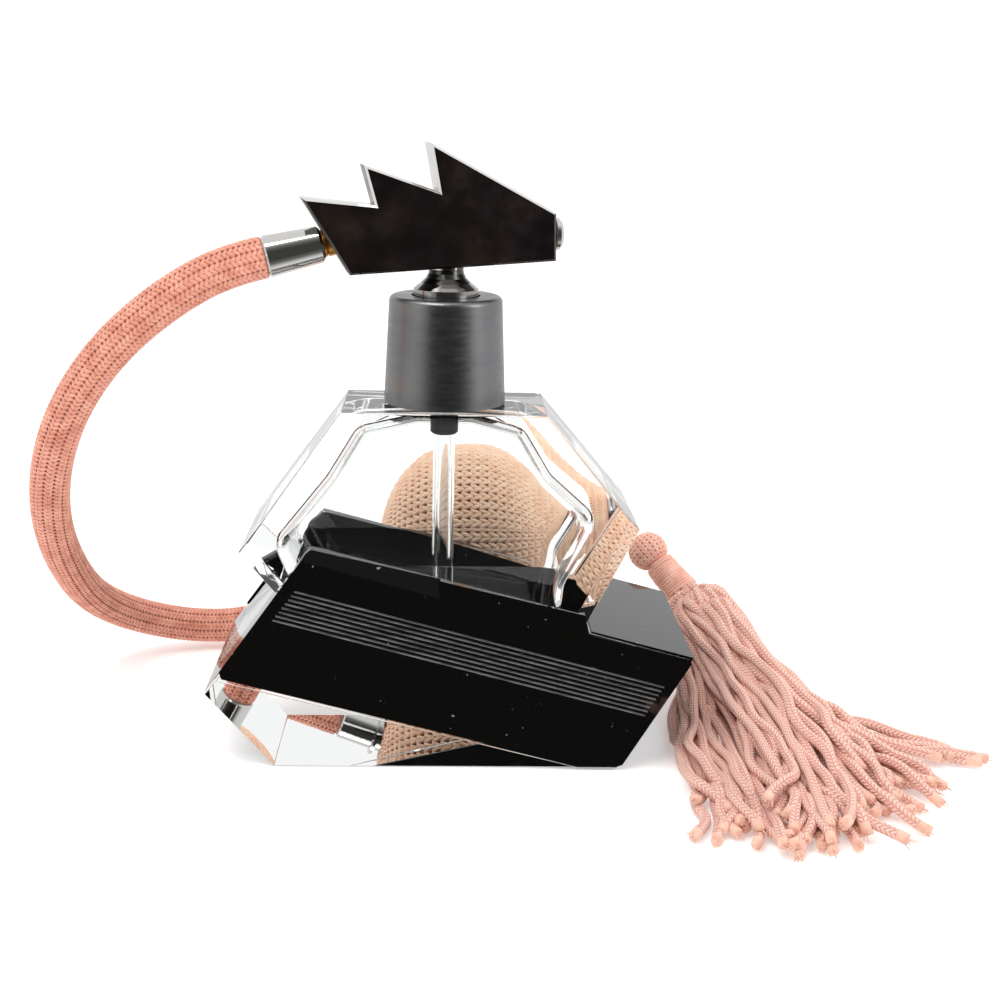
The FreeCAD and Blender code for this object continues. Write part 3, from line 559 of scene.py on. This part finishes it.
# where the left rim, the middle and the right rim of the skirt run, and how high the pile is there
SKIRT_GUIDES = [[(56.0, 31.5, 15.2), (56.4, 23.0, 9.2), (53.2, 9.0, 3.6),
                 (50.8, -9.0, 1.3), (49.8, -27.0, 1.2), (51.0, -50.0, 1.2)],
                [(58.9, 31.5, 17.2), (61.8, 22.5, 13.0), (65.5, 8.0, 6.5),
                 (70.0, -9.0, 3.4), (74.5, -28.0, 1.8), (77.5, -53.5, 1.2)],
                [(61.2, 31.5, 18.4), (65.6, 22.0, 14.6), (70.6, 9.0, 8.4),
                 (77.5, -3.0, 5.2), (90.0, -12.5, 3.0), (107.5, -19.0, 1.6)]]
PILE_HEIGHT = [1.5, 4.0, 7.0, 8.5, 6.5, 2.2]


def strand_paths():
    """The skirt's cords, laid out in layers and then pushed apart and onto the floor."""
    rng = np.random.default_rng(SEED)
    a, side, up = tassel_axes()
    start = KNOB + a * (BINDING[1] - 1.2)
    guides = np.array(SKIRT_GUIDES)
    paths = []
    golden = (math.sqrt(5) - 1) / 2
    for i in range(STRANDS):
        fan = -1 + 2 * (i + 0.5) / STRANDS
        layer = (i * golden) % 1.0
        root_up = (2 * layer - 1) * (BINDING[3] - STRAND_R)
        root_side = -fan * math.sqrt(max(0.0, 1 - (2 * layer - 1) ** 2)) * (BINDING[3] - STRAND_R)
        root = start + root_side * side + root_up * up
        points = [root, root + a * 3.0]
        f = fan
        drift = rng.normal(0, 0.07)
        for k in range(guides.shape[1]):
            f = np.clip(f + drift * 0.5 + rng.normal(0, 0.035), -1.02, 1.02)
            left, middle, right = guides[:, k]
            p = left * f * (f - 1) / 2 + middle * (1 - f * f) + right * f * (f + 1) / 2
            p = p + np.array([0, 0, PILE_HEIGHT[k] * layer * math.sqrt(max(0.12, 1 - f * f))])
            points.append(p)
        short = rng.random() ** 2 * 14.0 + (9.0 * rng.random() if layer > 0.6 else 0.0)
        out = points[-1] - np.array(SKIRT_HUB)
        points[-1] = points[-1] - out / np.linalg.norm(out) * short
        if np.linalg.norm(points[-1] - points[-2]) < 9:
            points.pop(-2)
        points = np.array(points)
        s = np.r_[0, np.cumsum(np.linalg.norm(np.diff(points, axis=0), axis=1))]
        fine = np.arange(0, s[-1], STRAND_STEP)
        line = catmull(points, s, fine)
        wave = rng.normal(0, 1, 3)
        phase = rng.random(2) * 6.28
        t = fine / s[-1]
        line[:, 0] += 1.1 * wave[0] * np.sin(fine / 9.0 + phase[0]) * t
        line[:, 1] += 0.8 * wave[1] * np.sin(fine / 8.0 + phase[1]) * t
        line[:, 2] += np.maximum(0, 1.2 * wave[2] * np.sin(fine / 7.0 + phase[1])) * t
        # the last centimetre of each cord curls its own way
        curl = rng.normal(0, 1.0) * 3.5
        last = np.clip((t - 0.86) / 0.14, 0, 1) ** 2
        line[:, 0] += curl * last
        paths.append(line)
    return relax(paths)


def catmull(points, s, fine):
    """Smooth line through points, read at distances."""
    slopes = np.gradient(points, s, axis=0)
    k = np.clip(np.searchsorted(s, fine, side="right") - 1, 0, len(s) - 2)
    h = s[k + 1] - s[k]
    t = (fine - s[k]) / h
    h00, h10 = 2 * t ** 3 - 3 * t ** 2 + 1, t ** 3 - 2 * t ** 2 + t
    h01, h11 = -2 * t ** 3 + 3 * t ** 2, t ** 3 - t ** 2
    return (h00[:, None] * points[k] + (h10 * h)[:, None] * slopes[k]
            + h01[:, None] * points[k + 1] + (h11 * h)[:, None] * slopes[k + 1])


def relax(paths):
    """Pushes cords out of each other, the floor and the bottle's end, keeping their roots."""
    lengths = [len(p) for p in paths]
    owner = np.repeat(np.arange(len(paths)), lengths)
    index = np.concatenate([np.arange(n) for n in lengths])
    points = np.vstack(paths)
    starts = np.r_[0, np.cumsum(lengths)]
    free = np.clip((index - 2) / 5.0, 0, 1)
    gap = STRAND_R * 1.9
    for _ in range(RELAX_ROUNDS):
        tree = KDTree(len(points))
        for i, p in enumerate(points):
            tree.insert(p, i)
        tree.balance()
        push = np.zeros_like(points)
        for i, p in enumerate(points):
            for co, j, dist in tree.find_range(p, gap):
                if owner[j] != owner[i] and dist > 1e-6:
                    push[i] += (p - np.array(co)) / dist * (gap - dist) * 0.28
        points = points + np.clip(push, -0.8, 0.8) * free[:, None]
        points[:, 2] -= 0.06 * free
        points[:, 2] = np.maximum(points[:, 2], STRAND_R + 0.15)
        end = END_FOOT + points[:, 2] * END_SLOPE + STRAND_R + 0.9
        near = ((points[:, 1] > -END_HALF_DEPTH) & (points[:, 1] < END_HALF_DEPTH)
                & (points[:, 2] < END_TOP))
        points[:, 0] = np.where(near, np.maximum(points[:, 0], end), points[:, 0])
        for s, n in zip(starts, lengths):
            seg = points[s:s + n]
            smooth = seg.copy()
            smooth[1:-1] = 0.5 * seg[1:-1] + 0.25 * (seg[:-2] + seg[2:])
            points[s:s + n] = seg + (smooth - seg) * 0.6 * free[s:s + n, None]
    return [ripple(points[s:s + n]) for s, n in zip(starts, lengths)]


def ripple(line):
    """Side to side waves that grow towards the tip, as knitted cord keeps from being bent."""
    rng = np.random.default_rng(int(abs(line[-1][0] * 1000)) + SEED)
    step = np.gradient(line, axis=0)
    across = np.stack([-step[:, 1], step[:, 0], np.zeros(len(line))], -1)
    across /= np.linalg.norm(across, axis=1)[:, None]
    t = np.linspace(0, 1, len(line))
    s = np.arange(len(line)) * STRAND_STEP
    wave = np.sin(s / rng.uniform(2.2, 3.6) + rng.uniform(0, 6)) * rng.uniform(0.2, 1.2)
    bend = np.sin(s / rng.uniform(5.0, 8.0) + rng.uniform(0, 6)) * rng.uniform(0.3, 1.7)
    line = line + across * ((wave + bend) * t ** 1.6)[:, None]
    lift = np.maximum(0, np.sin(s / rng.uniform(4.0, 7.0) + rng.uniform(0, 6)))
    line[:, 2] += lift * rng.uniform(0.0, 2.2) * t ** 2
    return line


def tassel_skirt(mat, tip_mat):
    rng = np.random.default_rng(SEED + 1)
    verts, faces, uvs, tips = [], [], [], []
    base = 0
    for line in strand_paths():
        n = len(line)
        radius = np.full(n, STRAND_R) * (1 + 0.04 * rng.normal())
        radius[-2:] *= (1.03, 1.07)
        v, f, uv = tube(line, radius, 10)
        verts.append(v)
        faces += [tuple(i + base for i in face) for face in f]
        tips += [1 if len(face) == 3 or max(face) >= (n - 1) * 10 else 0 for face in f]
        uvs += uv
        base += len(v)
        # frayed ends
        t = line[-1] - line[-3]
        t /= np.linalg.norm(t)
        for _ in range(7):
            off = rng.normal(0, 0.4, 3)
            a = line[-1] - t * 0.4 + off * 0.8
            b = a + t * rng.uniform(0.7, 1.5) + off * 0.45
            a[2], b[2] = max(a[2], 0.3), max(b[2], 0.25)
            v, f, uv = tube(np.linspace(a, b, 3), 0.11, 4)
            verts.append(v)
            faces += [tuple(i + base for i in face) for face in f]
            tips += [1] * len(f)
            uvs += uv
            base += len(v)
    obj = make_mesh("tassel_cords", np.vstack(verts), faces, mat, uvs)
    obj.data.materials.append(tip_mat)
    obj.data.polygons.foreach_set("material_index", tips)
    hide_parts("tassel_skirt")
    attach(obj, "tassel")
    return obj


# ---------------------------------------------------------------- CAD nodes
def paint(name, *mats):
    obj = frame["nodes"][name]
    obj.data.materials.clear()
    for mat in mats:
        obj.data.materials.append(mat)
    return obj


def choose(obj, rule):
    """Gives each face the material slot that rule(centre in mm, normal) names."""
    picks = [rule(p.center / MM, p.normal) for p in obj.data.polygons]
    obj.data.polygons.foreach_set("material_index", picks)


def head_rule(centre, normal):
    """Dark faces, edges rubbed bright along the top, and darker, duller plating underneath (painted shade)
    and on the faces at the nozzle end.
    """
    flat = abs(-normal.x * math.sin(HEAD_YAW) + normal.y * math.cos(HEAD_YAW))
    if flat > 0.95:
        return 0
    # slot 3: darker plating on the faces that point down, painted shade; the faces at the nozzle end get it
    # too
    if normal.z < -0.2 or normal.x > 0.62:
        return 3
    return 1 if flat > 0.3 else 2


def groove_rule(centre, normal):
    """Slot 1 for the walls of the lines, painted with a grey highlight; slot 0 for the rest of the enamel.
    """
    in_groove = GROOVE_Y[0] < centre.y < GROOVE_Y[1] and abs(normal.z) > 0.3 and normal.y < -0.2
    share = (centre.z + GROOVE_FALL * centre.x - GROOVE_START) / GROOVE_BAND
    return int(in_groove and centre.z < GROOVE_TOP and -0.6 < share < 1.08)


def paint_cad():
    crystal = crystal_material()
    enamel = enamel_material()
    # painted highlight for the walls of the cut lines
    ground = groove_material()
    pewter = pewter_material()
    mirror = dark_mirror_material()
    bright = plated_material("bright_edge", (0.74, 0.73, 0.71, 1), 0.12)
    plated = plated_material("plated", (0.60, 0.59, 0.57, 1), 0.03)
    side = plated_material("head_side", (0.52, 0.52, 0.52, 1), 0.12)
    # painted shade: the stem's plating is painted dark where the head shades it, darkest on the neck just
    # under the head
    neck = plated_material("bell_neck_painted_shade", (0.07, 0.068, 0.066, 1), 0.12)
    # painted shade: darker plating for the head's underside and its nozzle end
    dull = plated_material("head_under_painted_shade", (0.10, 0.095, 0.09, 1), 0.22)
    bell = plated_material("bell_plate_painted_shade", (0.30, 0.29, 0.28, 1), 0.09)
    brass = brass_material()
    rubber = material("dark_rubber", (0.03, 0.03, 0.032, 1), 0.0, 0.5)
    paint("glass_bottle", crystal)
    paint("glass_neck", crystal)
    choose(paint("front_enamel", enamel, ground), groove_rule)
    paint("rear_enamel", enamel)
    paint("end_enamel", enamel)
    paint("neck_ring", pewter)
    paint("collar", pewter)
    paint("gasket", rubber)
    # the neck above BELL_NECK_Z gets the darkest painted shade, the rest of the bell a lighter painted
    # shade
    choose(paint("stem", bell, neck), lambda centre, normal: int(centre.z > BELL_NECK_Z))
    paint("stem_nut", brass)
    paint("tube_socket", rubber)
    paint("dip_tube", tube_material())
    choose(paint("head_body", mirror, bright, side, dull), head_rule)
    paint("hose_nipple", brass)
    paint("jet_tube", brass)
    paint("nozzle_tip", plated)
    paint("hose_ferrule", plated)
    paint("bulb_ferrule", plated)
    paint("tail_valve", plated)
    paint("valve_disc", rubber)


# ---------------------------------------------------------------- studio
def camera():
    yaw, pitch, roll = (math.radians(angle) for angle in CAMERA_TURN)
    forward = Vector((math.sin(yaw) * math.cos(pitch), math.cos(yaw) * math.cos(pitch),
                      -math.sin(pitch)))
    right = Vector((math.cos(yaw), -math.sin(yaw), 0))
    up = right.cross(forward)
    right2 = math.cos(roll) * right + math.sin(roll) * up
    up2 = -math.sin(roll) * right + math.cos(roll) * up
    data = bpy.data.cameras.new("camera")
    data.sensor_width = SENSOR
    data.lens = SENSOR * FOCAL_RATIO
    data.clip_start = 0.01
    obj = bpy.data.objects.new("camera", data)
    rot = Matrix((right2, up2, -forward)).transposed().to_4x4()
    obj.matrix_world = Matrix.Translation(Vector(CAMERA_PLACE) * MM) @ rot
    bpy.context.scene.collection.objects.link(obj)
    bpy.context.scene.camera = obj


def area(name, place, target, size, power):
    light = bpy.data.lights.new(name, "AREA")
    light.shape = "RECTANGLE"
    light.size, light.size_y = size
    light.energy = power
    obj = bpy.data.objects.new(name, light)
    obj.location = place
    direction = Vector(target) - Vector(place)
    obj.rotation_euler = direction.to_track_quat("-Z", "Y").to_euler()
    bpy.context.scene.collection.objects.link(obj)


def world():
    """White all round the back and sides, darker in front, where the room behind the camera is."""
    w = bpy.data.worlds.new("studio")
    w.use_nodes = True
    tree = w.node_tree
    background = tree.nodes["Background"]
    coord = tree.nodes.new("ShaderNodeTexCoord")
    split = tree.nodes.new("ShaderNodeSeparateXYZ")
    tree.links.new(coord.outputs["Generated"], split.inputs[0])
    n = tree.nodes.new("ShaderNodeValToRGB")
    shift = tree.nodes.new("ShaderNodeMapRange")
    shift.inputs["From Min"].default_value = -1.0
    shift.inputs["From Max"].default_value = 1.0
    tree.links.new(split.outputs[1], shift.inputs["Value"])
    tree.links.new(shift.outputs[0], n.inputs[0])
    elements = n.color_ramp.elements
    for _ in range(2):
        elements.new(0.5)
    stops = [(0.06, 0.07), (0.16, 0.22), (0.30, 0.90), (0.36, 1.0)]
    for element, (position, value) in zip(elements, stops):
        element.position = position
        element.color = (value, value, value, 1)
    tree.links.new(n.outputs[0], background.inputs["Color"])
    background.inputs["Strength"].default_value = 1.02
    bpy.context.scene.world = w


def floor():
    """A plain pale floor, bright enough to run into the white behind it."""
    mesh = bpy.data.meshes.new("floor")
    level = -0.0003
    corners = [(-3, -3, level), (3, -3, level), (3, 9, level), (-3, 9, level)]
    mesh.from_pydata(corners, [], [(0, 1, 2, 3)])
    mesh.materials.append(material("pale_floor", (0.9, 0.9, 0.9, 1), 0.0, 0.9, Specular_IOR_Level=0.0,
                                   Emission_Color=(1, 1, 1, 1), Emission_Strength=0.3))
    obj = bpy.data.objects.new("floor", mesh)
    obj.visible_glossy = False
    bpy.context.scene.collection.objects.link(obj)


def studio():
    world()
    floor()
    area("top_key", (-0.25, -0.25, 0.75), (0, 0, 0.05), (0.5, 0.35), 3.0)
    area("right_fill", (0.6, -0.3, 0.35), (0, 0, 0.05), (0.3, 0.5), 1.6)
    area("left_fill", (-0.5, -0.42, 0.16), (-0.03, 0.02, 0.04), (0.35, 0.3), 0.35)
    bpy.context.scene.view_settings.view_transform = "Standard"
    bpy.context.scene.cycles.transparent_max_bounces = 12
    bpy.context.scene.cycles.max_bounces = 16
    bpy.context.scene.cycles.transmission_bounces = 16


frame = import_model()
camera()
studio()
paint_cad()
braid = fabric_material("salmon_braid", lin(236, 168, 145), lin(212, 134, 112))
knit = fabric_material("peach_knit", lin(255, 220, 190), lin(245, 196, 166))
# painted shade: the darker colour of the lining between the net's stitches
shade = fabric_material("net_shade", lin(200, 142, 114), lin(180, 120, 95))
thread = cord_material("silk_cord", lin(251, 208, 192), lin(232, 158, 140), 4, 0.95)
plain = fabric_material("wound_thread", lin(246, 196, 176), lin(230, 168, 148))
cut_end = fabric_material("cut_end", lin(246, 202, 180), lin(228, 168, 148))
hose(braid)
net_cover(knit, shade)
rubber_wall(material("bulb_rubber", lin(190, 130, 112), 0.0, 0.7))
knob(plain)
binding(plain)
tassel_skirt(thread, cut_end)
paint("tassel_loop", plain)
